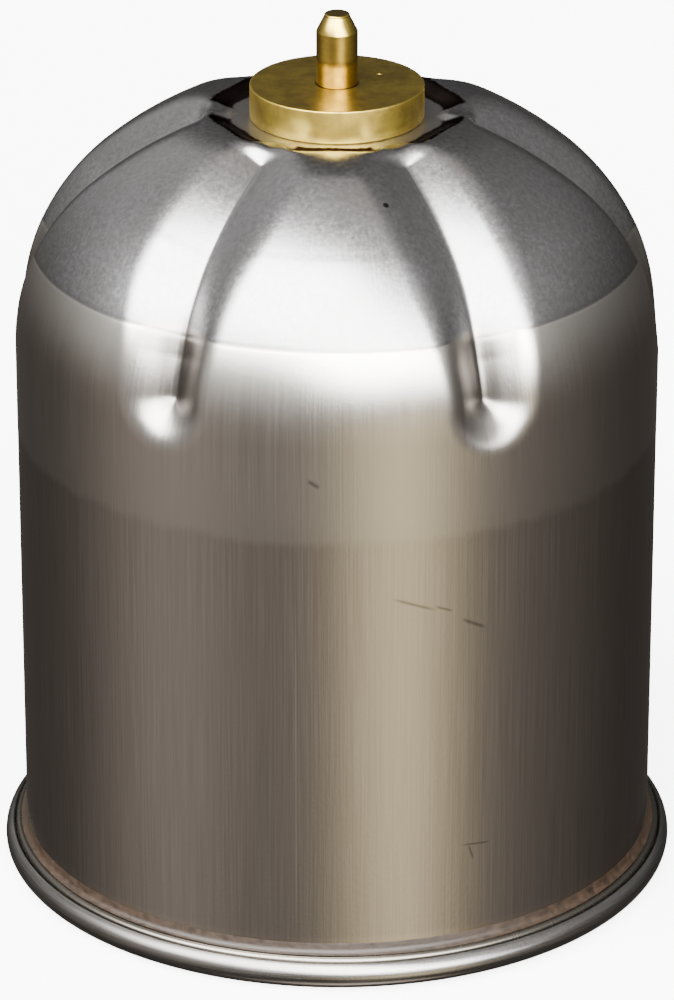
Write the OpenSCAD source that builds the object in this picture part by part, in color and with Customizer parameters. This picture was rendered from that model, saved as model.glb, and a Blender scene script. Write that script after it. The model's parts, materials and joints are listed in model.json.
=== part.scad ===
// Spin-on magnetic system filter canister. Millimetres, +Z up.
// The origin is on the axis, level with the bottom of the rolled rim.

/* [Canister] */
// Outer radius of the drawn can
can_r = 45; // [44.5:0.1:45.5]
// Thickness of the can sheet
can_t = 1.0; // [0.8:0.1:1.1]
// Height where the straight wall turns into the shoulder
shoulder_z = 80.2; // [78:0.1:82]
// Outer radius of the shoulder bend
shoulder_r = 31.2; // [30.5:0.1:32]
// Angle where the shoulder bend meets the flatter crown
crown_angle = 48; // [46:1:50]
// Outer radius of the crown
crown_r = 51.8; // [51:0.1:52.6]

/* [Recess] */
// Radius of the flat floor of the recess in the crown
recess_r = 16; // [15.5:0.1:16.5]
// Height of the recess floor
recess_z = 110.8; // [110.4:0.1:111.2]
// Slope of the recess wall in degrees
recess_slope = 40; // [35:1:50]

/* [Flutes] */
// Number of grip flutes pressed into the dome
flute_count = 6; // [4:1:8]
// Width of a flute across its edges
flute_w = 11; // [9:0.5:12]
// Depth of a flute
flute_d = 3; // [2:0.1:3.2]
// Height of the lower end of a flute
flute_end_z = 78.5; // [77:0.5:81]
// Turn of the first flute from the front
flute_turn = -31.7; // [-35:0.1:-25]

/* [Rolled rim] */
// Outer radius of the rolled rim
rim_r = 48.07; // [48.0:0.01:48.2]
// Radius of the roll's section
roll_r = 2.13; // [2.1:0.01:2.2]
// Sheet thickness of the seaming lid
lid_t = 0.8; // [0.7:0.05:0.9]

/* [Base] */
// Thickness of the tapping plate
plate_t = 4; // [3.5:0.5:5]
// Radius of the central port at the crests of its thread
port_r = 12.06; // [11.8:0.01:12.3]
// Length of the threaded hub measured from the plate's lower face
hub_len = 9.1; // [8:0.1:10]
// Number of inlet holes around the port
inlet_count = 8; // [6:1:10]
// Radius of each inlet hole
inlet_r = 4; // [3:0.1:4.2]

/* [Bleed head] */
// Radius of the brass head
head_r = 12.04; // [11.6:0.01:12.5]
// Thickness of the brass head above the can
head_h = 4.93; // [4.6:0.01:5.4]
// Radius of the bleed pin
pin_r = 2.88; // [2.8:0.01:3.0]
// Length of the straight part of the pin above the head
pin_straight = 7.6; // [7:0.1:9]
// Length of the pin's tapered tip
pin_taper = 2.5; // [2:0.1:3]
// Radius of the pin's flat end
pin_tip_r = 1.65; // [1.4:0.05:1.9]

/* [Magnet rod] */
// Outer radius of the rod's jacket
rod_r = 11; // [10.5:0.1:11.5]
// Length of each magnet
magnet_len = 7; // [6:0.5:7.5]
// Length of each pole disc
pole_len = 1.5; // [1:0.1:1.6]

/* [Hidden] */
$fn = 96;
// Smallest gap between neighbouring pieces
gap = 0.05;
// Overshoot used by cutting bodies
over = 1;

// Angle by which the shoulder runs on inside the crown, so that the two join
lap_angle = 4;

// Shoulder and crown centres of the outer profile
shoulder_cr = can_r - shoulder_r;
crown_cz = shoulder_z - shoulder_cr * tan(crown_angle);

// Flute section, found from its width and depth
flute_a = (flute_w * flute_w / 4 + flute_d * flute_d) / (2 * flute_d);
flute_out = flute_a - flute_d;
flute_cz = flute_end_z + sqrt(flute_a * flute_a - flute_out * flute_out);
flute_low = asin((flute_cz - shoulder_z) / (shoulder_r + flute_out));
flute_high = 74;

// Rolled rim
roll_cr = rim_r - roll_r;
hook_r = roll_cr + 0.61;
flange_z = 4.5;
hook_bottom = 1.5;

// Lid channel and plate
plate_z = 3.9;
plate_r = can_r - can_t - 0.3;
plate_top = plate_z + plate_t;
hub_r = 16;
hub_top = plate_z + hub_len;
channel_in = 38.6;
channel_out = 43.4;
inlet_pitch = 34;
port_lead = 1.3;

// Bleed head
head_top = recess_z + head_h;
shank_r = 6;
shank_end = 94;
chamber_r = 4.3;
chamber_top = 112;
pin_bore_r = pin_r + 0.05;
collar_r = 3.9;
collar_top = 111.2;
collar_bottom = 108.5;
tail_r = 1.8;
neck_r = 2.6;
tail_end = 103.5;
washer_t = 1.2;
washer_r = 11;
washer_bottom = recess_z - can_t - washer_t;
nut_h = 5;
nut_flats = 19;
cross_z = 101.5;
cross_r = 1;
groove_in = 8.2;
groove_out = 10.2;
groove_h = 1.0;
retainer_z = 94.6;
retainer_h = 1.3;
spring_z = retainer_z + retainer_h;
spring_turns = 5;
spring_steps = 90;
spring_len = collar_bottom - spring_z - 2 * gap;
wire_sides = 8;
wire_r = 0.4;
coil_r = 3.1;

// Magnet rod
jacket_t = 0.7;
jacket_z = 36;
jacket_top = 97;
stack_r = rod_r - jacket_t - 0.1;
stack_z = 41;
pitch = magnet_len + pole_len;
magnet_count = 5;
stack_top = stack_z + magnet_count * pitch + pole_len;
plug_z = 87.5;
plug_top = 99.5;
plug_floor = 93.6;

// Strainer and diverter
strainer_r = 17.2;
strainer_t = 0.8;
strainer_top = 28;
strainer_cols = 14;
strainer_rows = 3;
strainer_step = 4.4;
strainer_hole = 1.5;
bumper_r = 6;
stem_r = 3.5;
diverter_r = 26;
diverter_t = 0.8;
diverter_top = 84;
spider_h = 4;

// A flat ring between two radii
module ring(r_in, r_out, h) {
  difference() {
    cylinder(r = r_out, h = h);
    translate([0, 0, -over]) cylinder(r = r_in, h = h + 2 * over);
  }
}

// Half section of the can filled solid, drawn inset by t from its outside
module dome_section(t) {
  low = flange_z - 1;
  far = 200;
  union() {
    intersection() {
      translate([0, crown_cz]) circle(r = crown_r - t, $fn = 256);
      polygon([
        [0, crown_cz],
        [far * cos(crown_angle), crown_cz + far * sin(crown_angle)],
        [0, crown_cz + far]
      ]);
    }
    intersection() {
      translate([shoulder_cr, shoulder_z]) circle(r = shoulder_r - t, $fn = 256);
      polygon([
        [shoulder_cr, shoulder_z],
        [shoulder_cr + far, shoulder_z],
        [shoulder_cr + far * cos(crown_angle + lap_angle), shoulder_z + far * sin(crown_angle + lap_angle)]
      ]);
    }
    polygon([
      [0, low],
      [can_r - t, low],
      [can_r - t, shoulder_z],
      [shoulder_cr, shoulder_z],
      [0, crown_cz]
    ]);
  }
}

// The groove form of one flute, grown by t
module flute_form(t) {
  translate([0, 0, crown_cz]) rotate([90, 0, 0])
    rotate([0, 0, crown_angle]) rotate_extrude(angle = flute_high - crown_angle)
      translate([crown_r + flute_out, 0]) circle(r = flute_a + t);
  translate([shoulder_cr, 0, shoulder_z]) rotate([90, 0, 0])
    rotate([0, 0, flute_low]) rotate_extrude(angle = crown_angle - flute_low)
      translate([shoulder_r + flute_out, 0]) circle(r = flute_a + t);
  translate([shoulder_cr, 0, shoulder_z]) rotate([0, -flute_low, 0])
    translate([shoulder_r + flute_out, 0, 0]) sphere(r = flute_a + t);
}

// All flute forms around the dome
module flute_forms(t) {
  for (i = [0 : flute_count - 1])
    rotate([0, 0, -90 + flute_turn + i * 360 / flute_count]) flute_form(t);
}

// The cone form of the recess, grown by t
module recess_form(t) {
  foot_r = recess_r + t * (1 - cos(recess_slope)) / sin(recess_slope);
  rise = 12;
  translate([0, 0, recess_z - t])
    cylinder(r1 = foot_r, r2 = foot_r + rise / tan(recess_slope), h = rise);
}

// Deep drawn can with pressed-in flutes and a recess for the head
module can_shell() {
  color([0.55, 0.53, 0.50]) difference() {
    union() {
      rotate_extrude() dome_section(0);
      translate([0, 0, flange_z - can_t]) cylinder(r = hook_r, h = can_t);
      translate([0, 0, hook_bottom]) ring(hook_r - can_t, hook_r, flange_z - can_t - hook_bottom + 0.01);
    }
    flute_forms(0);
    recess_form(0);
    translate([0, 0, recess_z - 10]) cylinder(r = shank_r + 0.15, h = 20);
    difference() {
      union() {
        rotate_extrude() dome_section(can_t);
        cylinder(r = can_r - can_t, h = flange_z);
      }
      flute_forms(can_t);
      recess_form(can_t);
    }
  }
}

// Seaming lid with the outer roll and the gasket channel
module seaming_lid() {
  color([0.62, 0.61, 0.58]) rotate_extrude() union() {
    difference() {
      translate([roll_cr, roll_r]) circle(r = roll_r);
      translate([roll_cr, roll_r]) circle(r = roll_r - 0.9);
      translate([hook_r - 4, roll_r - 0.1]) square([4 + 0.1, 4]);
    }
    translate([channel_out - lid_t, 0.1]) square([roll_cr - channel_out + lid_t, lid_t]);
    translate([channel_out - lid_t, 0.1]) square([lid_t, plate_z - 0.1]);
    translate([channel_in, plate_z - lid_t]) square([channel_out - channel_in, lid_t]);
    translate([channel_in, 1.3]) square([lid_t, plate_z - 1.3]);
  }
}

// Bead of sealant in the corner above the seam
module seam_sealant() {
  color([0.52, 0.38, 0.26]) rotate_extrude() difference() {
    translate([can_r, flange_z]) square([1.35, 2.3]);
    translate([can_r + 2.6, flange_z + 2.7]) circle(r = 2.55);
  }
}

// Thick plate with the threaded port and the ring of inlet holes
module tapping_plate() {
  color([0.45, 0.45, 0.46]) difference() {
    union() {
      translate([0, 0, plate_z]) cylinder(r = plate_r, h = plate_t);
      translate([0, 0, plate_z]) cylinder(r = hub_r, h = hub_len);
    }
    translate([0, 0, plate_z - over]) cylinder(r = port_r, h = hub_len + 2 * over);
    translate([0, 0, plate_z - over]) cylinder(r = port_r + port_lead, h = over);
    translate([0, 0, plate_z]) cylinder(r1 = port_r + port_lead, r2 = port_r, h = port_lead);
    for (i = [0 : inlet_count - 1])
      rotate([0, 0, i * 360 / inlet_count]) translate([inlet_pitch, 0, plate_z - over])
        cylinder(r = inlet_r, h = plate_t + 2 * over);
  }
}

// Flat gasket that seals against the filter head
module face_gasket() {
  color([0.08, 0.08, 0.08]) translate([0, 0, 0.6])
    ring(channel_in + lid_t + gap, channel_out - lid_t - gap, plate_z - lid_t - 0.6);
}

// Brass head, shank and stepped bore
module head_body() {
  color([0.80, 0.62, 0.28]) difference() {
    union() {
      translate([0, 0, recess_z]) cylinder(r = head_r, h = head_h);
      translate([0, 0, shank_end]) cylinder(r = shank_r, h = recess_z - shank_end + 0.5);
    }
    translate([0, 0, chamber_top - over]) cylinder(r = pin_bore_r, h = 10);
    translate([0, 0, shank_end - over]) cylinder(r = chamber_r, h = chamber_top - shank_end + over);
    translate([0, 0, recess_z - over]) ring(groove_in, groove_out, groove_h + over);
    translate([-shank_r - over, 0, cross_z]) rotate([0, 90, 0])
      cylinder(r = cross_r, h = 2 * (shank_r + over));
  }
}

// Seal ring in the groove under the head
module head_seal() {
  color([0.1, 0.1, 0.1]) translate([0, 0, recess_z])
    ring(groove_in + gap, groove_out - gap, groove_h - gap);
}

// Washer under the recess floor
module inner_washer() {
  color([0.60, 0.60, 0.62]) translate([0, 0, washer_bottom]) ring(shank_r + 0.15, washer_r, washer_t);
}

// Hexagon nut that clamps the head
module lock_nut() {
  color([0.70, 0.56, 0.26]) translate([0, 0, washer_bottom - nut_h]) difference() {
    cylinder(r = nut_flats / 2 / cos(30), h = nut_h, $fn = 6);
    translate([0, 0, -over]) cylinder(r = shank_r + gap, h = nut_h + 2 * over);
  }
}

// Ring that carries the lower end of the bleed spring
module spring_retainer() {
  color([0.78, 0.60, 0.28]) translate([0, 0, retainer_z]) ring(2, chamber_r - 0.02, retainer_h);
}

// Point on the spring wire's skin: step i along the wire, corner k of its section
function wire_point(i, k) =
  let (
    turn = 360 * spring_turns * i / spring_steps,
    reach = coil_r + wire_r * cos(k * 360 / wire_sides),
    climb = wire_r + (spring_len - 2 * wire_r) * i / spring_steps
  ) [reach * cos(turn), reach * sin(turn), climb + wire_r * sin(k * 360 / wire_sides)];

// Number of the point at step i and corner k
function wire_index(i, k) = i * wire_sides + k % wire_sides;

// Spring that pushes the bleed pin shut
module bleed_spring() {
  color([0.72, 0.72, 0.74]) translate([0, 0, spring_z + gap]) polyhedron(
    points = [for (i = [0 : spring_steps]) for (k = [0 : wire_sides - 1]) wire_point(i, k)],
    faces = concat(
      [[for (k = [0 : wire_sides - 1]) k]],
      [[for (k = [wire_sides - 1 : -1 : 0]) wire_index(spring_steps, k)]],
      [for (i = [0 : spring_steps - 1]) for (k = [0 : wire_sides - 1])
        [wire_index(i, k), wire_index(i + 1, k), wire_index(i, k + 1)]],
      [for (i = [0 : spring_steps - 1]) for (k = [0 : wire_sides - 1])
        [wire_index(i, k + 1), wire_index(i + 1, k), wire_index(i + 1, k + 1)]]
    )
  );
}

// Bleed pin with collar and tail
module bleed_pin() {
  color([0.84, 0.66, 0.30]) union() {
    translate([0, 0, collar_bottom]) cylinder(r = collar_r, h = collar_top - collar_bottom);
    translate([0, 0, tail_end]) cylinder(r = tail_r, h = collar_bottom - tail_end + 0.5);
    translate([0, 0, collar_bottom]) cylinder(r = neck_r, h = head_top + 0.5 - collar_bottom);
    translate([0, 0, head_top]) cylinder(r = pin_r, h = pin_straight);
    translate([0, 0, head_top + pin_straight]) cylinder(r1 = pin_r, r2 = pin_tip_r, h = pin_taper);
  }
}

// Sealing ring on top of the pin's collar
module pin_o_ring() {
  color([0.1, 0.1, 0.1]) translate([0, 0, collar_top])
    ring(neck_r + 0.02, collar_r + 0.1, chamber_top - collar_top - 0.02);
}

// Plug that joins the rod to the shank
module rod_top_plug() {
  color([0.66, 0.66, 0.68]) difference() {
    union() {
      translate([0, 0, plug_z]) cylinder(r = rod_r - jacket_t - gap, h = jacket_top - plug_z + 0.5);
      translate([0, 0, jacket_top]) cylinder(r = rod_r, h = plug_top - jacket_top);
    }
    translate([0, 0, plug_floor]) cylinder(r = shank_r + gap, h = plug_top - plug_floor + over);
  }
}

// Stainless jacket round the magnet stack
module rod_jacket() {
  color([0.74, 0.74, 0.76]) translate([0, 0, jacket_z]) ring(rod_r - jacket_t, rod_r, jacket_top - jacket_z);
}

// Plug that closes the foot of the rod
module rod_bottom_plug() {
  color([0.66, 0.66, 0.68]) union() {
    translate([0, 0, jacket_z - 2]) cylinder(r = rod_r, h = 2);
    translate([0, 0, jacket_z - 0.5]) cylinder(r = rod_r - jacket_t - gap, h = stack_z - jacket_z + 0.5);
    translate([0, 0, strainer_top - 3]) cylinder(r = stem_r, h = jacket_z - 1 - strainer_top + 3);
  }
}

// Pad that presses the stack together
module stack_cushion() {
  color([0.18, 0.18, 0.18]) translate([0, 0, stack_top]) cylinder(r = stack_r - 1, h = plug_z - stack_top);
}

// One magnet of the stack
module magnet(i) {
  color([0.50, 0.50, 0.53]) translate([0, 0, stack_z + pole_len + i * pitch])
    cylinder(r = stack_r, h = magnet_len);
}

// One pole disc of the stack
module pole_disc(i) {
  color([0.36, 0.36, 0.38]) translate([0, 0, stack_z + i * pitch]) cylinder(r = stack_r, h = pole_len);
}

// Perforated cup over the port
module strainer_cup() {
  color([0.68, 0.68, 0.70]) difference() {
    translate([0, 0, plate_top]) cylinder(r = strainer_r, h = strainer_top - plate_top);
    translate([0, 0, plate_top - over])
      cylinder(r = strainer_r - strainer_t, h = strainer_top - strainer_t - plate_top + over);
    cylinder(r = bumper_r - 1 + gap, h = strainer_top + over);
    for (row = [0 : strainer_rows - 1])
      for (col = [0 : strainer_cols - 1])
        rotate([0, 0, (col + row / 2) * 360 / strainer_cols])
          translate([strainer_r - 2, 0, hub_top + 2.5 + row * strainer_step]) rotate([0, 90, 0])
            cylinder(r = strainer_hole, h = 4);
  }
}

// Soft bush that steadies the foot of the rod in the strainer
module rod_bumper() {
  color([0.12, 0.12, 0.12]) difference() {
    union() {
      translate([0, 0, strainer_top]) cylinder(r = bumper_r, h = 2);
      translate([0, 0, strainer_top - strainer_t - 1]) cylinder(r = bumper_r - 1, h = strainer_t + 1.5);
    }
    cylinder(r = stem_r + gap, h = strainer_top + 5);
  }
}

// Tube that sends the water over its top and down past the rod
module diverter_tube() {
  color([0.22, 0.23, 0.25]) union() {
    translate([0, 0, plate_top]) ring(diverter_r - diverter_t, diverter_r, diverter_top - plate_top);
    translate([0, 0, plate_top]) ring(diverter_r - diverter_t, diverter_r + 2.5, 1);
  }
}

// Ring with arms that centres the diverter in the can
module diverter_spider() {
  color([0.20, 0.21, 0.22]) translate([0, 0, diverter_top - spider_h]) union() {
    ring(diverter_r + gap, diverter_r + 1.5, spider_h);
    for (i = [0 : 3])
      rotate([0, 0, 45 + i * 90]) translate([diverter_r + 0.6, -1, 0])
        cube([can_r - can_t - 2.8 - diverter_r, 2, spider_h - 1]);
  }
}

can_shell();
seaming_lid();
seam_sealant();
tapping_plate();
face_gasket();
head_body();
head_seal();
inner_washer();
lock_nut();
spring_retainer();
bleed_spring();
bleed_pin();
pin_o_ring();
rod_top_plug();
rod_jacket();
rod_bottom_plug();
stack_cushion();
magnet(0);  // magnet_1
magnet(1);  // magnet_2
magnet(2);  // magnet_3
magnet(3);  // magnet_4
magnet(4);  // magnet_5
pole_disc(0);  // pole_disc_1
pole_disc(1);  // pole_disc_2
pole_disc(2);  // pole_disc_3
pole_disc(3);  // pole_disc_4
pole_disc(4);  // pole_disc_5
pole_disc(5);  // pole_disc_6
strainer_cup();
rod_bumper();
diverter_tube();
diverter_spider();
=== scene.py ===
import bmesh
import bpy
import json
import math
import numpy as np
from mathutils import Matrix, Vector
from types import SimpleNamespace


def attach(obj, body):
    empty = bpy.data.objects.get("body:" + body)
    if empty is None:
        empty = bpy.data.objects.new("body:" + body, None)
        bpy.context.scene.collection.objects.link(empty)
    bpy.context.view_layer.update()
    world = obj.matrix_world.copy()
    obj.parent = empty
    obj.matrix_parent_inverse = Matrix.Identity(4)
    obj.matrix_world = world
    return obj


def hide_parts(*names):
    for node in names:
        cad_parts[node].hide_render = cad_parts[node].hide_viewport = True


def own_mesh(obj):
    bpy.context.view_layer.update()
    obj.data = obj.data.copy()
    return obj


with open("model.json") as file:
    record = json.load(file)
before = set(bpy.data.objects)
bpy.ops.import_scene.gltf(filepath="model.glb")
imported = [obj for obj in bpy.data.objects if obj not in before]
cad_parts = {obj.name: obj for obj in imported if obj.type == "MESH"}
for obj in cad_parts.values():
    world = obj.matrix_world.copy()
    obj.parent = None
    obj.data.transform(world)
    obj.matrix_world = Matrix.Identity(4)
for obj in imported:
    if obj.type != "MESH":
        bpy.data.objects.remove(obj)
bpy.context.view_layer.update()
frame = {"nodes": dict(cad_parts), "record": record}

MM = 0.001
FULL_TURN = 2 * math.pi

# ---------------------------------------------------------------- sizes, in millimetres and degrees
# drawn can: straight wall, shoulder arc, crown arc
CAN_R = 45.0
SHEET = 1.0
SHOULDER_Z = 80.2
SHOULDER_R = 31.2
SHOULDER_CR = CAN_R - SHOULDER_R
CROWN_R = 51.8
CROWN_ANGLE = math.radians(48)
CROWN_Z = SHOULDER_Z - SHOULDER_CR * math.tan(CROWN_ANGLE)
CROWN_TOP = 111.95
CROWN_DROP = 0.3
CREASE_Z = 93.0
DRAW_Z = 66.4
SKIN_FOOT_Z = 5.5
HOLE_R = 6.15
CAN_SEGMENTS = 640

# six flutes: depth and half width at lengths along the profile, from the start of the shoulder
FLUTE_TURN = -31.7
FLUTE_COUNT = 6
FLUTE_STEP = 360 / FLUTE_COUNT
FLUTE_END_Z = 84.0
FLUTE_TOP_R = 20.6
FLUTE_DEPTH_AT = [0, 4, 10, 20, 32, 46]
FLUTE_DEPTH = [3.3, 3.7, 4.0, 3.5, 3.2, 3.0]
FLUTE_WIDTH_AT = [0, 4, 10, 20, 32, 40, 46]
FLUTE_WIDTH = [5.2, 5.4, 5.9, 6.7, 7.1, 7.0, 6.0]
FLUTE_ROOT_R = 0.45

# recess round the head: radius of its foot behind a flute, beside it, and between two flutes
RECESS_Z = 110.8
RECESS_SLOPE = 0.48
RECESS_CUSP = 14.2
RECESS_TIP = 16.0
RECESS_LOBE = 15.4
TIP_TURN = 12.0
LOBE_TURN = FLUTE_STEP / 2
SADDLE_DEPTH = 0.45
SADDLE_TURN = 11
SADDLE_R = 21.5

# hook at the can's foot, which grips the lid
HOOK_R = 45.9
HOOK_Z = 3.85
HOOK_ROUND = 0.65
HOOK_TOP = 4.5
HOOK_FILLET = 0.75

# seaming lid
LID_T = 0.8
LID_WALL_R = 42.6
LID_HOLE_R = 38.6
LID_TOP = 3.9
LID_COLLAR_Z = 1.3
ROLL_CR = 45.94
ROLL_R = 2.13
ROLL_T = 0.9
BROKEN_EDGE = 0.05

# brass head and its chamber
HEAD_R = 12.04
HEAD_TOP = 115.73
HEAD_FOOT = 110.8
HEAD_ROUND = 0.22
HEAD_BORE_R = 2.93
GROOVE_IN = 8.2
GROOVE_OUT = 10.2
GROOVE_H = 1.0
SHANK_R = 6.0
SHANK_END = 94.0
CHAMBER_R = 4.3
CHAMBER_TOP = 112.0

# bleed pin and its spring
PIN_R = 2.88
PIN_AXIS_R = 0.02
PIN_SHOULDER = 123.2
PIN_TIP = 125.83
PIN_TIP_ROUND = 0.3
NECK_R = 2.6
COLLAR_R = 3.9
COLLAR_TOP = 111.2
COLLAR_BOTTOM = 108.5
TAIL_R = 1.8
TAIL_END = 103.5
CHAMFER = 0.1
SPRING_FOOT = 95.95
SPRING_TOP = 108.45
SPRING_R = 3.1
SPRING_TURNS = 6.5
SPRING_STEPS = 421
END_COIL = 0.85
WIRE_R = 0.4
WIRE_SIDES = 14


# ---------------------------------------------------------------- mesh helpers
def smooth_min(a, b, k):
    h = np.maximum(k - np.abs(a - b), 0.0) / k
    return np.minimum(a, b) - h * h * k * 0.25


def smooth_max(a, b, k):
    return -smooth_min(-a, -b, k)


def ease(t):
    """Smooth step from 0 to 1."""
    t = np.clip(t, 0.0, 1.0)
    return t * t * (3 - 2 * t)


def wobble(angle, seed, amount, low=2, high=9):
    """A smooth closed wave round the axis, the same every run."""
    rng = np.random.default_rng(seed)
    out = np.zeros_like(angle)
    for n in range(low, high):
        out += rng.uniform(-1, 1) / n * np.cos(n * angle + rng.uniform(0, FULL_TURN))
    return amount * out


def ring_at(r, z, a):
    """One ring of points at radius r and height z, with angle 0 at the front and +X to the right."""
    return np.stack([r * np.sin(a), -r * np.cos(a), z], axis=1)


def mesh_from_rings(name, rings, close=True, sharp=40.0):
    """Skins a list of rings, each an (n, 3) array in millimetres.
    close joins the last ring to the first; without it both ends are capped."""
    n = len(rings[0])
    m = len(rings)
    here = np.arange(n)
    after = (here + 1) % n
    faces = []
    for a in range(m if close else m - 1):
        b = (a + 1) % m
        quads = np.stack([a * n + here, a * n + after, b * n + after, b * n + here], axis=1)
        faces += [tuple(q) for q in quads.tolist()]
    if not close:
        faces.append(tuple(range(n))[::-1])
        faces.append(tuple(range((m - 1) * n, m * n)))
    mesh = bpy.data.meshes.new(name)
    mesh.from_pydata((np.concatenate(rings) * MM).tolist(), [], faces)
    mesh.polygons.foreach_set("use_smooth", [True] * len(mesh.polygons))
    mesh.update()
    obj = bpy.data.objects.new(name, mesh)
    bpy.context.scene.collection.objects.link(obj)
    bm = bmesh.new()
    bm.from_mesh(mesh)
    bmesh.ops.recalc_face_normals(bm, faces=bm.faces)
    bm.to_mesh(mesh)
    bm.free()
    mesh.set_sharp_from_angle(angle=math.radians(sharp))
    return obj


def revolve(name, profile, n, close=True, sharp=40.0, shift=None):
    """Turns a profile of (radius, height) points round the axis; shift moves each ring a little."""
    a = np.linspace(0, FULL_TURN, n, endpoint=False)
    rings = []
    for i, (r, z) in enumerate(profile):
        dr, dz = shift(i, r, z, a) if shift else (0.0, 0.0)
        rings.append(ring_at(np.full(n, float(r)) + dr, np.full(n, float(z)) + dz, a))
    return mesh_from_rings(name, rings, close, sharp)


def arc(cx, cz, r, a0, a1, n):
    """Points on an arc, angles in degrees from +radius."""
    turns = [math.radians(t) for t in np.linspace(a0, a1, n)]
    return [(cx + r * math.cos(t), cz + r * math.sin(t)) for t in turns]


def line(p, q, n):
    """n points from p to q, without p."""
    return [(p[0] + (q[0] - p[0]) * t, p[1] + (q[1] - p[1]) * t) for t in np.linspace(0, 1, n + 1)[1:]]


# ---------------------------------------------------------------- the can
SHOULDER_S = SHOULDER_R * CROWN_ANGLE


def shoulder_length(z):
    """Profile length at height z on the shoulder."""
    return SHOULDER_R * math.asin((z - SHOULDER_Z) / SHOULDER_R)


def crown_length(r):
    """Profile length at radius r on the crown."""
    return SHOULDER_S + CROWN_R * (math.acos(r / CROWN_R) - CROWN_ANGLE)


FLUTE_S = shoulder_length(FLUTE_END_Z)
FLUTE_TOP_S = crown_length(FLUTE_TOP_R)
CREASE_S = shoulder_length(CREASE_Z)
DRAW_S = DRAW_Z - SHOULDER_Z
HOLE_S = crown_length(HOLE_R)


def base_point(s):
    """Radius, height and outward normal at length s along the outer profile, 0 where the shoulder starts."""
    if s <= 0:
        return CAN_R, SHOULDER_Z + s, 1.0, 0.0
    if s <= SHOULDER_S:
        a = s / SHOULDER_R
        r, z = SHOULDER_CR + SHOULDER_R * math.cos(a), SHOULDER_Z + SHOULDER_R * math.sin(a)
    else:
        a = CROWN_ANGLE + (s - SHOULDER_S) / CROWN_R
        r, z = CROWN_R * math.cos(a), CROWN_Z + CROWN_R * math.sin(a)
    return r, z, math.cos(a), math.sin(a)


def flute_depth(r, s, a):
    """Signed depth of the V-shaped flutes at radius r, profile length s and angles a."""
    deep = float(np.interp(s, FLUTE_DEPTH_AT, FLUTE_DEPTH))
    wide = float(np.interp(s, FLUTE_WIDTH_AT, FLUTE_WIDTH))
    past = max(0.0, FLUTE_S - s) + max(0.0, s - FLUTE_TOP_S) * 1.5
    far = 99.0
    depth = np.full_like(a, -9.0)
    for i in range(FLUTE_COUNT):
        d = (a - math.radians(FLUTE_TURN + FLUTE_STEP * i) + math.pi) % FULL_TURN - math.pi
        y = np.where(np.abs(d) < math.pi / 3, r * np.sin(np.clip(d, -1.2, 1.2)), far)
        rho = np.sqrt(y * y + past ** 2)
        v = deep - deep / wide * (np.sqrt(rho * rho + FLUTE_ROOT_R ** 2) - FLUTE_ROOT_R)
        depth = np.maximum(depth, v)
    return depth


def from_flute(a):
    """Degrees from the nearest flute."""
    return np.abs((np.degrees(a) - FLUTE_TURN + LOBE_TURN) % FLUTE_STEP - LOBE_TURN)


def recess_radius(a):
    """Radius of the foot of the recess wall: a cusp behind each flute, a tip on each side of it."""
    u = from_flute(a)
    tip = (RECESS_TIP - RECESS_CUSP) * ease(u / TIP_TURN)
    lobe = (RECESS_TIP - RECESS_LOBE) * ease((u - TIP_TURN) / (LOBE_TURN - TIP_TURN))
    return RECESS_CUSP + tip - lobe


def crown_depth(r, z, nz, a):
    """Depth along the normal from the crown's arc to its flattened top and the recess for the head."""
    saddle = SADDLE_DEPTH * ease(1 - from_flute(a) / SADDLE_TURN) * ease((SADDLE_R - r) / 3.5)
    drop = CROWN_DROP * min(1.0, max(0.0, (34.0 - r) / 12.0))
    flat = smooth_min(z - drop, CROWN_TOP - saddle, 1.6)
    wall = RECESS_Z + smooth_max((r - recess_radius(a)) * RECESS_SLOPE, 0.0, 0.25)
    return (z - smooth_min(flat, wall, 0.3)) * nz


def skin_ring(s, a, inset=0.0):
    """One ring of the can's skin, inset by the sheet's thickness for the inside."""
    r, z, nr, nz = base_point(s)
    base = crown_depth(r, z, nz, a) if s > 20 else 0.0
    depth = smooth_max(flute_depth(r, s, a), base, 1.0) + inset
    off = s - CREASE_S
    crease = 0.03 / (1 + math.exp(-off / 0.3)) + 0.025 * math.exp(-(off / 0.3) ** 2)
    draw = 0.03 / (1 + math.exp((s - DRAW_S) / 0.25))
    depth = depth + crease + draw
    rr = r - nr * depth
    zz = z - nz * depth
    if s > HOLE_S - 12:
        # the rings close up to the round hole
        rr = rr + (r - rr) * min(1.0, (s - HOLE_S + 12) / 6.0)
    return ring_at(rr, zz, a)


def foot_profile():
    """The can's foot, from the inside of the wall out over the flange and the hook."""
    inner_r = CAN_R - SHEET
    hook_in = HOOK_R - 0.35
    hook_out = HOOK_R + HOOK_ROUND
    wall = [(inner_r, 8.0), (inner_r, 3.55), (44.05, 3.5), (45.5, 3.5), (hook_in, 3.45)]
    hook = [(hook_in, 1.55), (45.6, 1.5), (46.5, 1.5), (hook_out, 1.55), (hook_out, HOOK_Z)]
    over = arc(HOOK_R, HOOK_Z, HOOK_ROUND, 0, 90, 8)[1:] + [(CAN_R + HOOK_FILLET, HOOK_TOP)]
    fillet = arc(CAN_R + HOOK_FILLET, HOOK_TOP + HOOK_FILLET, HOOK_FILLET, -90, -180, 6)[1:]
    return wall + hook + over + fillet


def steps(*spans):
    """Lengths from each span's start up to its end, at its step."""
    return [s for start, end, step in spans for s in np.arange(start, end, step)]


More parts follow.
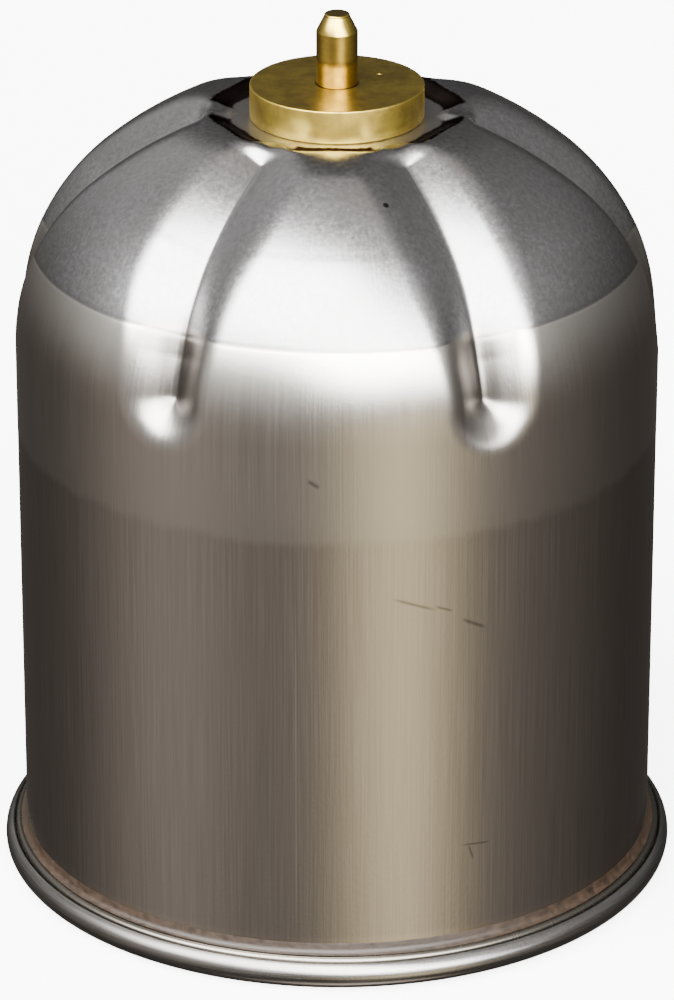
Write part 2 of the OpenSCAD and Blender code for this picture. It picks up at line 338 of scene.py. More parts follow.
def make_can():
    a = np.linspace(0, FULL_TURN, CAN_SEGMENTS, endpoint=False)
    rings = []
    for r, z in foot_profile():
        lift = wobble(a, 5, 0.05) if z > 4.0 and r > 45.2 else 0.0
        rings.append(ring_at(r, z + lift + 0 * a, a))
    outer = steps((SKIN_FOOT_Z - SHOULDER_Z, -6.0, 1.6), (-6.0, CREASE_S - 1.0, 0.5),
                  (CREASE_S - 1.0, CREASE_S + 1.0, 0.2), (CREASE_S + 1.0, 36.0, 0.55),
                  (36.0, 56.0, 0.25))
    outer += list(np.linspace(56.0, HOLE_S, 4))
    rings += [skin_ring(s, a) for s in outer]
    inner = list(np.linspace(HOLE_S, 40.0, 14)) + steps((38.0, -4.0, -2.0)) + [-30.0, -60.0]
    rings += [skin_ring(s, a, SHEET) for s in inner]
    return mesh_from_rings("can_skin", rings, True, 50.0)


# ---------------------------------------------------------------- the other pieces
def make_lid():
    """Seaming lid, whose outer edge is the rolled rim."""
    wall_out = LID_WALL_R + LID_T
    lip_out = LID_HOLE_R + LID_T
    e = BROKEN_EDGE
    well = [(LID_WALL_R, LID_TOP - LID_T), (LID_WALL_R, 0.16), (LID_WALL_R + 0.06, 0.1)]
    well += line((LID_WALL_R + 0.06, 0.1), (44.6, 0.05), 4) + line((44.6, 0.05), (45.6, 0.0), 4)[:-1]
    roll = arc(ROLL_CR, ROLL_R, ROLL_R, 270, 420, 40) + [(46.86, 3.88)]
    roll += arc(ROLL_CR, ROLL_R, ROLL_R - ROLL_T, 60, -90, 26)
    web = [(wall_out, 0.9), (wall_out, LID_TOP - e), (wall_out - e, LID_TOP), (LID_HOLE_R + e, LID_TOP)]
    lip = [(LID_HOLE_R, LID_TOP - e), (LID_HOLE_R, LID_COLLAR_Z + e), (LID_HOLE_R + e, LID_COLLAR_Z)]
    lip += [(lip_out - e, LID_COLLAR_Z), (lip_out, LID_COLLAR_Z + e), (lip_out, LID_TOP - LID_T)]

    def uneven(i, r, z, a):
        if r < 46:
            return 0.0, 0.0
        return wobble(a, 3, 0.05) - 0.03, wobble(a, 8, 0.04) * (z > 1)

    return revolve("rolled_rim", well + roll + web + lip, 512, True, 35.0, uneven)


def make_bead():
    """Sealant bead in the corner between the wall and the rim, a little uneven where it shows."""
    hidden = [(44.9, 6.3), (44.9, 4.55), (45.72, 4.52)]
    shown = [(45.78, 4.58), (45.5, 4.68), (45.25, 4.9), (45.1, 5.3), (45.03, 5.9)]

    def uneven(i, r, z, a):
        if i < len(hidden):
            return 0.0, 0.0
        return wobble(a, 21 + i, 0.02, 4, 40), wobble(a, 31 + i, 0.12, 4, 40)

    return revolve("sealant_bead", hidden + shown, 512, True, 60.0, uneven)


def make_head():
    """Turned brass head: disc, seal groove, shank and the chamber for the pin."""
    top = [(HEAD_BORE_R, HEAD_TOP - BROKEN_EDGE), (HEAD_BORE_R + BROKEN_EDGE, HEAD_TOP)]
    top += [(r, HEAD_TOP) for r in (5.0, 8.0, 11.0, 11.8)]
    side = arc(HEAD_R - HEAD_ROUND, HEAD_TOP - HEAD_ROUND, HEAD_ROUND, 90, 0, 5)
    side += [(HEAD_R, z) for z in (114.0, 112.5, 111.2)]
    side += [(HEAD_R - 0.35, HEAD_FOOT + 0.05), (HEAD_R - 0.4, HEAD_FOOT)]
    groove = [(GROOVE_OUT, HEAD_FOOT), (GROOVE_OUT, HEAD_FOOT + GROOVE_H)]
    groove += [(GROOVE_IN, HEAD_FOOT + GROOVE_H), (GROOVE_IN, HEAD_FOOT)]
    shank = [(SHANK_R, HEAD_FOOT), (SHANK_R, SHANK_END + 0.3), (SHANK_R - 0.3, SHANK_END)]
    bore = [(CHAMBER_R, SHANK_END), (CHAMBER_R, CHAMBER_TOP), (HEAD_BORE_R, CHAMBER_TOP)]
    return revolve("bleed_head", top + side + groove + shank + bore, 256, True, 30.0)


def make_pin():
    """Turned bleed pin: tail, collar, neck, straight part and tapered end."""
    c = CHAMFER
    tail = [(PIN_AXIS_R, TAIL_END), (TAIL_R - c, TAIL_END), (TAIL_R, TAIL_END + c), (TAIL_R, COLLAR_BOTTOM)]
    collar = [(COLLAR_R - c, COLLAR_BOTTOM), (COLLAR_R, COLLAR_BOTTOM + c)]
    collar += [(COLLAR_R, COLLAR_TOP - c), (COLLAR_R - c, COLLAR_TOP)]
    neck = [(NECK_R, COLLAR_TOP), (NECK_R, 115.7), (PIN_R - 0.02, HEAD_TOP), (PIN_R, 115.9)]
    straight = [(PIN_R, 119.0), (PIN_R, PIN_SHOULDER)]
    taper = [(PIN_R - 0.02, 123.33), (2.2, 124.65), (1.78, 125.5)]
    tip = arc(1.5, PIN_TIP - PIN_TIP_ROUND, PIN_TIP_ROUND, 20, 90, 5)
    tip += [(0.8, PIN_TIP), (PIN_AXIS_R, PIN_TIP)]
    return revolve("bleed_pin_turned", tail + collar + neck + straight + taper + tip, 192, False, 25.0)


def make_spring():
    """Bleed spring, whose end coils lie close together."""
    t = np.linspace(0, SPRING_TURNS, SPRING_STEPS)
    rise = SPRING_TOP - SPRING_FOOT - 2 * WIRE_R
    climb = np.interp(t, [0, 1, SPRING_TURNS - 1, SPRING_TURNS], [0, END_COIL, rise - END_COIL, rise])
    k = np.linspace(0, FULL_TURN, WIRE_SIDES, endpoint=False)
    rings = []
    for turn, z in zip(t * FULL_TURN, climb):
        r = SPRING_R + WIRE_R * np.cos(k)
        height = SPRING_FOOT + WIRE_R + z + WIRE_R * np.sin(k)
        rings.append(np.stack([r * math.cos(turn), r * math.sin(turn), height], axis=1))
    return mesh_from_rings("coiled_spring", rings, False, 50.0)


# ---------------------------------------------------------------- shader helpers
class Nodes:
    """Short calls that add and link shader nodes."""

    def __init__(self, tree):
        self.t = tree

    def add(self, kind, **props):
        n = self.t.nodes.new(kind)
        for k, v in props.items():
            setattr(n, k, v)
        return n

    def put(self, socket, value):
        """Sets a socket to a value, or links another socket to it."""
        if isinstance(value, (int, float, tuple, list)):
            socket.default_value = value
        else:
            self.t.links.new(value, socket)

    def math(self, op, *values):
        n = self.add("ShaderNodeMath", operation=op)
        for socket, v in zip(n.inputs, values):
            self.put(socket, v)
        return n.outputs[0]

    def times(self, first, *others):
        for other in others:
            first = self.math("MULTIPLY", first, other)
        return first

    def xyz(self):
        """The object's own x, y, z in millimetres, and the three as one vector."""
        c = self.add("ShaderNodeTexCoord")
        s = self.add("ShaderNodeSeparateXYZ")
        scale = self.add("ShaderNodeVectorMath", operation="SCALE")
        scale.inputs[3].default_value = 1 / MM
        self.put(scale.inputs[0], c.outputs["Object"])
        self.put(s.inputs[0], scale.outputs[0])
        return s.outputs[0], s.outputs[1], s.outputs[2], scale.outputs[0]

    def azimuth(self, x, y):
        """Angle round the axis in radians, 0 at the front."""
        return self.math("ARCTAN2", x, self.math("MULTIPLY", y, -1.0))

    def radius(self, x, y):
        return self.math("SQRT", self.math("ADD", self.math("MULTIPLY", x, x), self.math("MULTIPLY", y, y)))

    def up(self):
        """How far the surface faces up, from its own normal."""
        c = self.add("ShaderNodeTexCoord")
        s = self.add("ShaderNodeSeparateXYZ")
        self.put(s.inputs[0], c.outputs["Normal"])
        return s.outputs[2]

    def away(self, p, place):
        """Distance from a point."""
        n = self.add("ShaderNodeVectorMath", operation="DISTANCE")
        self.put(n.inputs[0], p)
        n.inputs[1].default_value = place
        return n.outputs["Value"]

    def stroke(self, u, v, start, end, width):
        """Mask of a straight mark between two points of the plane (u, v)."""
        size = math.dist(start, end)
        du = (end[0] - start[0]) / size
        dv = (end[1] - start[1]) / size
        a = self.math("SUBTRACT", u, start[0])
        b = self.math("SUBTRACT", v, start[1])
        along = self.math("ADD", self.math("MULTIPLY", a, du), self.math("MULTIPLY", b, dv))
        off = self.math("SUBTRACT", self.math("MULTIPLY", a, dv), self.math("MULTIPLY", b, du))
        off = self.math("ABSOLUTE", off)
        return self.times(self.remap(along, 0.0, size * 0.3, 0.0, 1.0, True),
                          self.remap(along, size * 0.7, size, 1.0, 0.0, True),
                          self.remap(off, 0.0, width, 1.0, 0.0, True))

    def vec(self, x, y, z):
        n = self.add("ShaderNodeCombineXYZ")
        for socket, v in zip(n.inputs, (x, y, z)):
            self.put(socket, v)
        return n.outputs[0]

    def noise(self, vector, scale, detail=3.0, rough=0.5, distort=0.0):
        n = self.add("ShaderNodeTexNoise")
        self.put(n.inputs["Vector"], vector)
        n.inputs["Scale"].default_value = scale
        n.inputs["Detail"].default_value = detail
        n.inputs["Roughness"].default_value = rough
        n.inputs["Distortion"].default_value = distort
        return n.outputs[0]

    def ramp(self, value, stops, interp="LINEAR"):
        n = self.add("ShaderNodeValToRGB")
        n.color_ramp.interpolation = interp
        el = n.color_ramp.elements
        while len(el) < len(stops):
            el.new(0.5)
        for e, (place, color) in zip(el, stops):
            e.position = place
            e.color = (*color[:3], 1)
        self.put(n.inputs[0], value)
        return n.outputs[0]

    def remap(self, value, a, b, c, d, smooth=False):
        """Maps a..b to c..d, held at both ends."""
        n = self.add("ShaderNodeMapRange", clamp=True)
        if smooth:
            n.interpolation_type = "SMOOTHSTEP"
        for socket, v in zip(n.inputs, (value, a, b, c, d)):
            self.put(socket, v)
        return n.outputs[0]

    def mix(self, f, a, b, mode="MIX"):
        """Mixes two colours."""
        n = self.add("ShaderNodeMix", data_type="RGBA", blend_type=mode)
        self.put(n.inputs[0], f)
        self.put(n.inputs[6], (*a[:3], 1) if isinstance(a, tuple) else a)
        self.put(n.inputs[7], (*b[:3], 1) if isinstance(b, tuple) else b)
        return n.outputs[2]

    def blend(self, f, a, b):
        """Mixes two numbers."""
        n = self.add("ShaderNodeMix", data_type="FLOAT")
        self.put(n.inputs[0], f)
        self.put(n.inputs[2], a)
        self.put(n.inputs[3], b)
        return n.outputs[0]

    def bump(self, height, strength, distance, normal=None):
        n = self.add("ShaderNodeBump")
        n.inputs["Strength"].default_value = strength
        n.inputs["Distance"].default_value = distance
        self.put(n.inputs["Height"], height)
        if normal is not None:
            self.put(n.inputs["Normal"], normal)
        return n.outputs[0]


def new_material(name):
    """An empty material: the material, its Nodes and its shader."""
    m = bpy.data.materials.new(name)
    m.use_nodes = True
    m.node_tree.nodes.clear()
    n = Nodes(m.node_tree)
    out = n.add("ShaderNodeOutputMaterial")
    sh = n.add("ShaderNodeBsdfPrincipled")
    n.put(out.inputs[0], sh.outputs[0])
    return m, n, sh


def finish_metal(n, sh, tone, rough, normal):
    n.put(sh.inputs["Base Color"], tone)
    n.put(sh.inputs["Metallic"], 1.0)
    n.put(sh.inputs["Roughness"], rough)
    n.put(sh.inputs["Normal"], normal)


# ---------------------------------------------------------------- drawn steel of the can
# heights where the can's finish changes
BAND_FROM, BAND_TO = 65.4, 67.2
DOME_FROM, DOME_TO = 92.7, 93.1
RING_FROM, RING_TO = 82.0, 92.4
TINT_FROM, TINT_TO = 7.4, 5.9
HOOK_FROM, HOOK_TO = 5.3, 4.8

# small marks on the wall: start and end as (length round the wall, height), and width
SCRATCHES = [((7.0, 58.2), (14.0, 55.6), 0.35), ((13.2, 56.4), (16.2, 55.2), 0.3),
             ((17.0, 54.0), (21.2, 51.8), 0.42)]
TICK = [((17.3, 19.6), (22.2, 19.2), 0.22), ((18.6, 19.5), (19.4, 17.0), 0.25)]
SCUFF = [((-4.0, 75.6), (-2.2, 74.4), 0.5)]
DRAW_LINE = ((-5.6, 3.0), (-5.6, 62.0), 0.16)
SPECK = (6.6, -27.3, 108.2)


def can_fields(n):
    """The coordinates, noises and zones that the can's finish is made of."""
    x, y, z, p = n.xyz()
    ang = n.azimuth(x, y)
    turn = n.math("MULTIPLY", ang, CAN_R)
    rise = n.math("MULTIPLY", z, 0.012)
    f = SimpleNamespace(z=z, p=p, ang=ang, turn=turn, rad=n.radius(x, y))
    f.fine = n.noise(n.vec(turn, rise, 0.0), 3.6, 4.0, 0.6)
    f.coarse = n.noise(n.vec(turn, rise, 7.0), 0.5, 3.0, 0.6)
    f.grain = n.noise(p, 1.5, 4.0, 0.75)
    f.cloud = n.noise(p, 0.09, 4.0, 0.6, 0.4)
    f.edge = n.math("ADD", z, n.math("MULTIPLY", n.math("SUBTRACT", f.cloud, 0.5), 3.0))
    f.dome = n.remap(z, DOME_FROM, DOME_TO, 0.0, 1.0)
    f.band = n.remap(f.edge, BAND_FROM, BAND_TO, 0.0, 1.0, True)
    f.hook = n.remap(z, HOOK_FROM, HOOK_TO, 0.0, 1.0, True)
    # depth below the shoulder's own surface, which only the flutes have
    drop = n.math("SUBTRACT", z, SHOULDER_Z)
    nominal = n.math("SQRT", n.math("SUBTRACT", SHOULDER_R ** 2, n.math("MULTIPLY", drop, drop)))
    f.depth = n.math("SUBTRACT", n.math("ADD", nominal, SHOULDER_CR), f.rad)
    f.outer = n.remap(f.depth, 0.25, 1.3, 1.0, 0.0, True)
    return f


def recess_shade_mask(n, f):
    """Painted shade along the recess wall, left out behind each flute."""
    around = n.math("MULTIPLY", f.ang, 180 / math.pi)
    around = n.math("WRAP", around, FLUTE_TURN + LOBE_TURN, FLUTE_TURN - LOBE_TURN)
    aside = n.math("ABSOLUTE", n.math("SUBTRACT", around, FLUTE_TURN))
    foot = n.math("SUBTRACT", n.remap(aside, 0.0, TIP_TURN, RECESS_CUSP, RECESS_TIP, True),
                  n.remap(aside, TIP_TURN, LOBE_TURN, 0.0, RECESS_TIP - RECESS_LOBE, True))
    ragged = n.math("MULTIPLY", n.math("SUBTRACT", f.grain, 0.5), 1.2)
    past = n.math("ADD", n.math("SUBTRACT", f.rad, foot), ragged)
    reach = n.remap(n.math("ABSOLUTE", f.ang), 0.35, 0.6, 2.4, 1.4, True)
    return n.times(n.remap(n.math("ADD", past, reach), 0.0, 0.4, 0.0, 1.0, True),
                   n.remap(past, 1.7, 2.1, 1.0, 0.0, True),
                   n.remap(aside, 7.0, 10.0, 0.0, 1.0, True),
                   f.dome)


def can_zones(n, f):
    """Colour of the wall, the polished band, the burnished ring and the dome, with painted shade deep in the
    flutes below the crease.
    """
    wall = n.ramp(f.fine, [(0.30, (0.375, 0.352, 0.322)), (0.50, (0.415, 0.392, 0.362)),
                           (0.70, (0.46, 0.437, 0.405))])
    wall = n.mix(n.times(f.coarse, 0.22), wall, (0.33, 0.305, 0.275))
    band = n.mix(0.55, wall, (0.50, 0.475, 0.44))
    dome = n.ramp(f.grain, [(0.30, (0.36, 0.355, 0.36)), (0.52, (0.43, 0.425, 0.43)),
                            (0.72, (0.50, 0.495, 0.50))])
    dome = n.mix(n.times(n.remap(f.cloud, 0.35, 0.7, 0.0, 1.0), 0.4), dome, (0.33, 0.315, 0.295))
    ring = n.times(n.remap(f.edge, RING_FROM, RING_TO, 0.0, 1.0, True),
                   n.remap(f.z, 92.6, 92.9, 1.0, 0.0, True), f.outer, 0.9)
    # painted shade: the deepest part of each flute is darkened below the crease
    valley_shade = n.times(n.remap(f.depth, 1.8, 3.2, 0.0, 0.7, True), n.remap(f.z, 92.6, 91.0, 0.0, 1.0, True))
    tone = n.mix(f.band, wall, band)
    tone = n.mix(ring, tone, (0.80, 0.77, 0.70))
    tone = n.mix(valley_shade, tone, (0.12, 0.11, 0.10))
    return n.mix(f.dome, tone, dome)


def can_stains(n, f, tone, recess_shade):
    """Heat tint over the seam, the dull hook, painted shade along the crease line, and painted shade in the
    recess and along its wall.
    """
    low = n.math("ADD", f.z, n.math("MULTIPLY", f.coarse, 1.3))
    tint = n.remap(low, TINT_TO, TINT_FROM, 1.0, 0.0, True)
    tone = n.mix(n.times(tint, 0.75), tone, (0.36, 0.275, 0.11))
    tone = n.mix(n.times(f.hook, 0.9), tone, (0.20, 0.19, 0.175))
    # painted shade: a thin dark line along the shoulder crease, outside the flutes
    from_crease = n.math("ABSOLUTE", n.math("SUBTRACT", f.z, CREASE_Z - 0.05))
    crease = n.remap(from_crease, 0.05, 0.35, 1.0, 0.0, True)
    tone = n.mix(n.times(crease, f.outer, 0.25), tone, (0.16, 0.145, 0.13))
    # painted shade on the recess floor near its wall
    tone = n.mix(n.times(n.remap(f.rad, 14.6, 16.0, 0.4, 0.0, True), f.dome), tone, (0.30, 0.27, 0.25))
    # painted shade: the band along the recess wall is darkened nearly to black
    return n.mix(n.times(recess_shade, 0.97), tone, (0.045, 0.034, 0.031))


def can_marks(n, f, tone):
    """The speck on the dome, the scratches, tick and scuff on the wall, and one pale draw line."""
    speck = n.remap(n.away(f.p, SPECK), 0.35, 0.6, 0.9, 0.0, True)
    tone = n.mix(speck, tone, (0.03, 0.025, 0.02))
    marks = 0.0
    for start, end, width in SCRATCHES + TICK + SCUFF:
        marks = n.math("MAXIMUM", marks, n.stroke(f.turn, f.z, start, end, width))
    tone = n.mix(n.times(marks, 0.6), tone, (0.10, 0.09, 0.075))
    return n.mix(n.times(n.stroke(f.turn, f.z, *DRAW_LINE), 0.30), tone, (0.85, 0.80, 0.72))


def can_roughness(n, f):
    rough = n.blend(f.band, n.remap(f.fine, 0.3, 0.7, 0.15, 0.20), n.remap(f.fine, 0.3, 0.7, 0.19, 0.25))
    rough = n.blend(f.dome, rough, n.remap(f.grain, 0.3, 0.7, 0.18, 0.26))
    recess = n.times(n.remap(f.rad, 14.8, 15.8, 1.0, 0.0, True), f.dome)
    rough = n.blend(recess, rough, 0.32)
    return n.math("MULTIPLY_ADD", f.hook, 0.08, rough)


def can_material():
    m, n, sh = new_material("drawn_steel")
    f = can_fields(n)
    recess_shade = recess_shade_mask(n, f)
    tone = can_marks(n, f, can_stains(n, f, can_zones(n, f), recess_shade))
    normal = n.bump(f.grain, 0.05, 0.0002, n.bump(f.fine, 0.04, 0.0002))
    finish_metal(n, sh, tone, can_roughness(n, f), normal)
    # painted shade also takes the tint out of the edge reflection along the recess wall
    n.put(sh.inputs["Specular Tint"], n.mix(recess_shade, (1.0, 1.0, 1.0), (0.3, 0.28, 0.28)))
    return m


# ---------------------------------------------------------------- the other materials
def rim_material():
    """Rolled steel, with painted shade and a little more roughness to the left of the front."""
    m, n, sh = new_material("rolled_steel")
    x, y, z, p = n.xyz()
    ang = n.azimuth(x, y)
    along = n.noise(n.vec(n.math("MULTIPLY", ang, 3.0), n.math("MULTIPLY", z, 2.2), 0.0), 2.0, 4.0, 0.6)
    grain = n.noise(p, 3.0, 4.0, 0.7)
    tone = n.ramp(along, [(0.3, (0.27, 0.26, 0.245)), (0.7, (0.40, 0.385, 0.365))])
    tone = n.mix(0.25, tone, n.ramp(grain, [(0.35, (0.20, 0.19, 0.18)), (0.65, (0.44, 0.43, 0.42))]))
    # painted shade: the rim is darkened to the left of the front
    left_shade = n.times(n.remap(ang, -1.5, -0.9, 0.0, 1.0, True), n.remap(ang, -0.45, 0.15, 1.0, 0.0, True))
    tone = n.mix(n.times(left_shade, 0.6), tone, (0.13, 0.12, 0.11))
    rough = n.math("MULTIPLY_ADD", left_shade, 0.08, n.remap(along, 0.3, 0.7, 0.18, 0.25))
    finish_metal(n, sh, tone, rough, n.bump(along, 0.04, 0.0002))
    return m


def brass_material(name, low, high, side, top, tarnish):
    """Brass with turning rings. side and top are the roughness of upright and level faces,
    and tarnish is how strongly the stained patches show."""
    m, n, sh = new_material(name)
    x, y, z, p = n.xyz()
    rad = n.radius(x, y)
    rings = n.noise(n.vec(n.math("MULTIPLY", rad, 6.0), n.math("MULTIPLY", z, 6.0), 0.0), 1.4, 4.0, 0.7)
    cloud = n.noise(p, 0.35, 4.0, 0.6)
    tone = n.ramp(rings, [(0.3, low), (0.7, high)])
    tone = n.mix(n.times(n.remap(cloud, 0.35, 0.7, 0.0, 1.0), tarnish), tone, (0.30, 0.19, 0.05))
    # painted shade on the lower part of the pin, just above the head
    pin_foot_shade = n.times(n.remap(z, HEAD_TOP + 3.4, HEAD_TOP + 4.2, 0.6, 0.0, True),
                    n.remap(rad, PIN_R + 0.12, PIN_R + 0.32, 1.0, 0.0))
    tone = n.mix(pin_foot_shade, tone, (0.16, 0.09, 0.01))
    rough = n.math("ADD", n.remap(n.up(), 0.5, 0.9, side, top), n.remap(rings, 0.3, 0.7, -0.02, 0.03))
    # one small pit on the head's top
    pit = n.remap(n.away(p, (5.8, 3.2, HEAD_TOP)), 0.2, 0.6, 0.0, 1.0, True)
    finish_metal(n, sh, tone, rough, n.bump(rings, 0.04, 0.0001, n.bump(pit, 0.8, 0.0004)))
    return m


def plain_material(name, low, high, metal, r0, r1, scale, bump=0.1):
    """A material for pieces that are mostly hidden: mottled colour and roughness."""
    m, n, sh = new_material(name)
    g = n.noise(n.xyz()[3], scale, 5.0, 0.65)
    n.put(sh.inputs["Base Color"], n.ramp(g, [(0.3, low), (0.7, high)]))
    n.put(sh.inputs["Metallic"], metal)
    n.put(sh.inputs["Roughness"], n.remap(g, 0.3, 0.7, r0, r1))
    n.put(sh.inputs["Normal"], n.bump(g, bump, 0.0003))
    return m


def grey(v):
    return (v, v, v)


def make_materials():
    """One material for each of the record's slots."""
    return {
        "can_steel": can_material(),
        "rim_steel": rim_material(),
        "brass_turned": brass_material("turned_brass", (0.56, 0.41, 0.06), (0.70, 0.54, 0.11),
                                       0.38, 0.30, 0.75),
        "brass_pin": brass_material("polished_brass", (0.66, 0.47, 0.08), (0.80, 0.60, 0.13),
                                    0.13, 0.13, 0.35),
        "sealant": plain_material("seam_sealant_brown", (0.008, 0.005, 0.003), (0.030, 0.017, 0.009),
                                  0.0, 0.35, 0.55, 1.0, 0.25),
        "seal_rubber": plain_material("nitrile", grey(0.012), (0.035, 0.034, 0.033),
                                      0.0, 0.55, 0.8, 2.0, 0.2),
        "plate_steel": plain_material("oiled_plate", (0.26, 0.25, 0.24), (0.46, 0.45, 0.44),
                                      1.0, 0.28, 0.45, 0.8),
        "zinc_steel": plain_material("zinc_plate", (0.55, 0.55, 0.56), (0.76, 0.76, 0.78),
                                     1.0, 0.2, 0.35, 1.5),
        "spring_steel": plain_material("spring_wire", (0.55, 0.55, 0.56), (0.78, 0.78, 0.8),
                                       1.0, 0.15, 0.3, 3.0),
        "stainless": plain_material("stainless_satin", grey(0.58), grey(0.78), 1.0, 0.22, 0.36, 1.4),
        "magnet_nickel": plain_material("nickel_plate", (0.52, 0.51, 0.49), (0.72, 0.70, 0.67),
                                        1.0, 0.12, 0.26, 1.0),
        "pole_steel": plain_material("pole_iron", grey(0.22), (0.4, 0.39, 0.38), 1.0, 0.3, 0.5, 2.0),
        "inner_plastic": plain_material("glass_filled_nylon", (0.018, 0.019, 0.021), (0.05, 0.052, 0.056),
                                        0.0, 0.4, 0.6, 2.5),
    }


# ---------------------------------------------------------------- floor, light and camera
RAMP_SCALE = 2.5
KEY_LIGHT = (22.0, 21.8, 21.6)
BACKDROP = (12.0, 12.0, 12.0)
FLOOR_GLOW = 5.0
FLOOR_R = 6.0
FLOOR_Z = -0.0002


def make_floor():
    """Pale glowing floor, which the camera sees and the object doesn't reflect."""
    bpy.ops.mesh.primitive_circle_add(vertices=96, radius=FLOOR_R, fill_type="NGON",
                                      location=(0, 0, FLOOR_Z))
    floor = bpy.context.object
    floor.name = "floor"
    m, _, sh = new_material("floor_pale")
    sh.inputs["Base Color"].default_value = (0.90, 0.90, 0.90, 1)
    sh.inputs["Roughness"].default_value = 0.9
    sh.inputs["Specular IOR Level"].default_value = 0.0
    sh.inputs["Emission Color"].default_value = (1.0, 1.0, 1.0, 1)
    sh.inputs["Emission Strength"].default_value = FLOOR_GLOW
    floor.data.materials.append(m)
    floor.visible_glossy = False
    floor.visible_diffuse = False


def shade(v, green, blue):
    """A colour of brightness v, stored below 1 because a colour ramp holds no more."""
    v = v / RAMP_SCALE
    return (v, v * green, v * blue)


def dim(v):
    return shade(v, 0.87, 0.78)


def warm(v):
    return shade(v, 0.86, 0.58)


def cool(v):
    return shade(v, 0.98, 0.97)


def round_ramp(w, az, stops, interp="LINEAR"):
    """Light round the horizon: stops are (azimuth in degrees, colour), 0 towards the viewer."""
    place = w.math("MULTIPLY_ADD", az, 1 / FULL_TURN, 0.5)
    ramp = w.ramp(place, [(0.5 + deg / 360.0, color) for deg, color in stops], interp)
    return w.mix(1.0, ramp, (RAMP_SCALE, RAMP_SCALE, RAMP_SCALE), "MULTIPLY")


def room_below(w, az, el_deg):
    """Below the horizon: the dark room with one bright strip to the right of the camera, then the
    dark edge of the table, and its pale top, which only the underside of the rim reflects."""
    low = round_ramp(w, az, [(-180, dim(0.06)), (-150, dim(0.06)), (-112, dim(0.11)), (-88, dim(0.27)),
                             (-60, dim(0.58)), (-30, dim(0.25)), (-5, dim(0.38)), (8, warm(1.15)),
                             (24, warm(2.1)), (38, warm(1.0)), (52, dim(0.34)), (75, dim(0.20)),
                             (100, dim(0.12)), (125, dim(0.06)), (180, dim(0.05))], "B_SPLINE")
    table = round_ramp(w, az, [(-180, dim(0.07)), (-75, dim(0.10)), (-35, dim(1.2)), (0, dim(1.6)),
                               (45, dim(1.6)), (80, dim(0.12)), (180, dim(0.07))])
    low = w.mix(w.remap(el_deg, -27.0, -36.0, 0.0, 0.9, True), low, (0.07, 0.065, 0.06))
    return w.mix(w.remap(el_deg, -60.0, -70.0, 0.0, 1.0, True), low, table)


def room_above(w, az, el_deg):
    """Above the horizon: a grey room, lighter on the left, and its ceiling."""
    high = round_ramp(w, az, [(-180, cool(0.11)), (-166, cool(0.18)), (-150, cool(0.63)), (-128, cool(0.50)),
                              (-105, cool(0.75)), (-88, cool(1.2)), (0, cool(1.6)), (60, cool(1.2)),
                              (88, cool(0.46)), (115, cool(0.33)), (150, cool(0.20)), (180, cool(0.11))])
    rise = w.remap(el_deg, -4.0, 34.0, 0.36, 1.0, True)
    high = w.mix(1.0, high, w.vec(rise, rise, rise), "MULTIPLY")
    return w.mix(w.remap(el_deg, 60.0, 82.0, 0.0, 1.0, True), high, (0.70, 0.66, 0.63))


def key_window(w, az_deg, el_deg):
    """The large soft light over the camera, its edges slanted as they are seen from the can."""
    left = w.remap(az_deg, -97.0, -55.0, 0.0, 1.0, True)
    slant = w.math("SUBTRACT", az_deg, w.math("MULTIPLY_ADD", el_deg, -0.6, 61.0))
    right = w.remap(slant, -25.0, 15.0, 1.0, 0.0, True)
    sill = w.remap(az_deg, -25.0, 10.0, 25.0, 10.0, True)
    bottom = w.remap(w.math("SUBTRACT", el_deg, sill), -13.0, 13.0, 0.0, 1.0, True)
    top = w.remap(el_deg, 64.0, 84.0, 1.0, 0.0, True)
    return w.times(w.times(left, right), w.times(bottom, top))


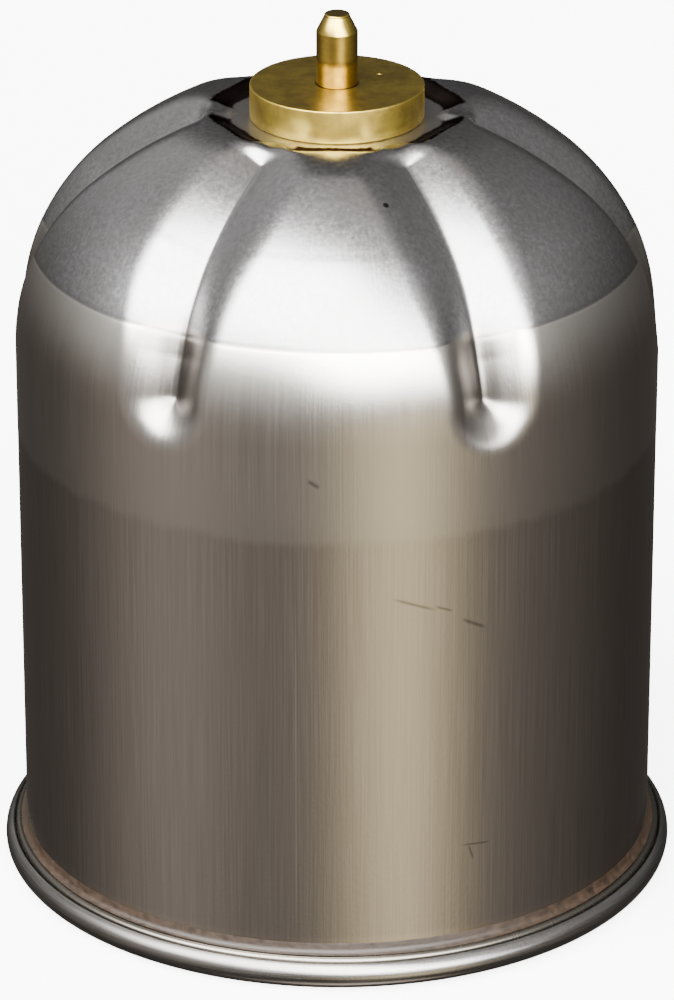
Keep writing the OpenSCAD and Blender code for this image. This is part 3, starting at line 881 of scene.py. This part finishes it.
def make_world():
    """The studio, which only reflections see; the camera sees a white backdrop."""
    world = bpy.data.worlds.new("studio")
    bpy.context.scene.world = world
    world.use_nodes = True
    world.node_tree.nodes.clear()
    w = Nodes(world.node_tree)
    out = w.add("ShaderNodeOutputWorld")
    bg = w.add("ShaderNodeBackground")
    w.put(out.inputs[0], bg.outputs[0])
    co = w.add("ShaderNodeTexCoord")
    sep = w.add("ShaderNodeSeparateXYZ")
    w.put(sep.inputs[0], co.outputs["Generated"])
    az = w.azimuth(sep.outputs[0], sep.outputs[1])
    az_deg = w.math("MULTIPLY", az, 180.0 / math.pi)
    el_deg = w.math("MULTIPLY", w.math("ARCSINE", sep.outputs[2]), 180.0 / math.pi)
    horizon = w.remap(el_deg, -16.0, 6.0, 0.0, 1.0, True)
    room = w.mix(horizon, room_below(w, az, el_deg), room_above(w, az, el_deg))
    lit = w.mix(key_window(w, az_deg, el_deg), room, KEY_LIGHT)
    path = w.add("ShaderNodeLightPath")
    w.put(bg.inputs[0], w.mix(path.outputs["Is Camera Ray"], lit, BACKDROP))
    bg.inputs[1].default_value = 1.0


CAMERA_LENS = 201.2
CAMERA_RISE = 0.4122
CAMERA_AWAY = 17.619 * CAN_R * MM
CAMERA_AIM = Vector((0, 0, 1.1814 * CAN_R * MM))


def make_camera():
    """Long lens at the front, looking down at CAMERA_RISE radians."""
    data = bpy.data.cameras.new("camera")
    cam = bpy.data.objects.new("camera", data)
    bpy.context.scene.collection.objects.link(cam)
    data.sensor_width = 36.0
    data.lens = CAMERA_LENS
    data.clip_start = 0.01
    data.clip_end = 50
    cam.location = CAMERA_AIM + Vector((0, -math.cos(CAMERA_RISE), math.sin(CAMERA_RISE))) * CAMERA_AWAY
    cam.rotation_mode = "QUATERNION"
    cam.rotation_quaternion = (CAMERA_AIM - cam.location).to_track_quat("-Z", "Y")
    bpy.context.scene.camera = cam


# ---------------------------------------------------------------- assembly
def dress(obj, materials, body, slot, node):
    """Gives a new piece its material and body, and hides the CAD node that it stands for."""
    obj.data.materials.append(materials[slot])
    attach(obj, body)
    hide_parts(node)


def paint_cad(materials):
    """Hidden pieces keep their CAD shape and get the material of their slot."""
    for part in frame["record"]["subparts"]:
        obj = frame["nodes"][part["node"]]
        material = materials[part["material_slot"]]
        if not obj.material_slots:
            obj.data.materials.append(material)
        for s in obj.material_slots:
            s.material = material


materials = make_materials()
dress(make_can(), materials, "canister", "can_steel", "can_shell")
dress(make_lid(), materials, "canister", "rim_steel", "seaming_lid")
dress(make_bead(), materials, "canister", "sealant", "seam_sealant")
dress(make_head(), materials, "canister", "brass_turned", "head_body")
dress(make_pin(), materials, "bleed_pin", "brass_pin", "bleed_pin")
paint_cad(materials)

spring = make_spring()
dress(spring, materials, "canister", "spring_steel", "bleed_spring")
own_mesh(spring)

make_floor()
make_world()
make_camera()
